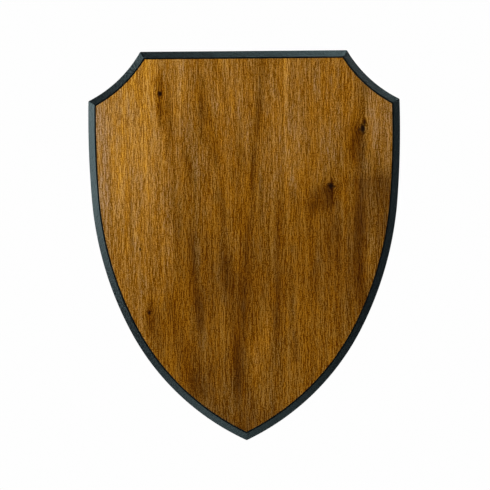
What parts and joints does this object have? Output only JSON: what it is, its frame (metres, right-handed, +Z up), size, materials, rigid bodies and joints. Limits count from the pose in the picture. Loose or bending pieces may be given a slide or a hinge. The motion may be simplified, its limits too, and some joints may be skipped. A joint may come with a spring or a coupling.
{
  "type": "shield plaque",
  "caption": "Shield-shaped wooden wall plaque with a blank walnut-veneered face, black bevelled edge and a swinging hanging ring behind.",
  "frame": {"origin": "where the wall hook carries the hanging ring, on the plane of the wall", "axes": "+Z up, +Y into the wall, so the veneered face looks along -Y, and +X to the right of someone facing the plaque"},
  "size_m": [0.2034, 0.0202, 0.254],
  "materials": {
    "edge_lacquer": "satin blue-black spray lacquer on fibreboard, with a faint orange peel",
    "walnut_veneer": "satin clear-coated walnut veneer, upright grain with open pores and pin knots",
    "back_veneer": "plain unfinished balancing veneer",
    "plated_steel": "bright zinc plate with light handling marks",
    "bumper_rubber": "matt black rubber"
  },
  "bodies": {
    "shield": {"core_board": "edge_lacquer", "face_veneer": "walnut_veneer", "back_veneer": "back_veneer", "hanger_strap": "plated_steel", "hanger_screws": "plated_steel", "bumper_left": "bumper_rubber", "bumper_right": "bumper_rubber"},
    "ring": {"hanger_ring": "plated_steel"}
  },
  "joints": [
    {"name": "ring_swing", "type": "hinge", "parent": "shield", "child": "ring", "pos_m": [0, -0.00215, -0.011], "axis": [-1, 0, 0], "range_deg": [0, 175]}
  ]
}
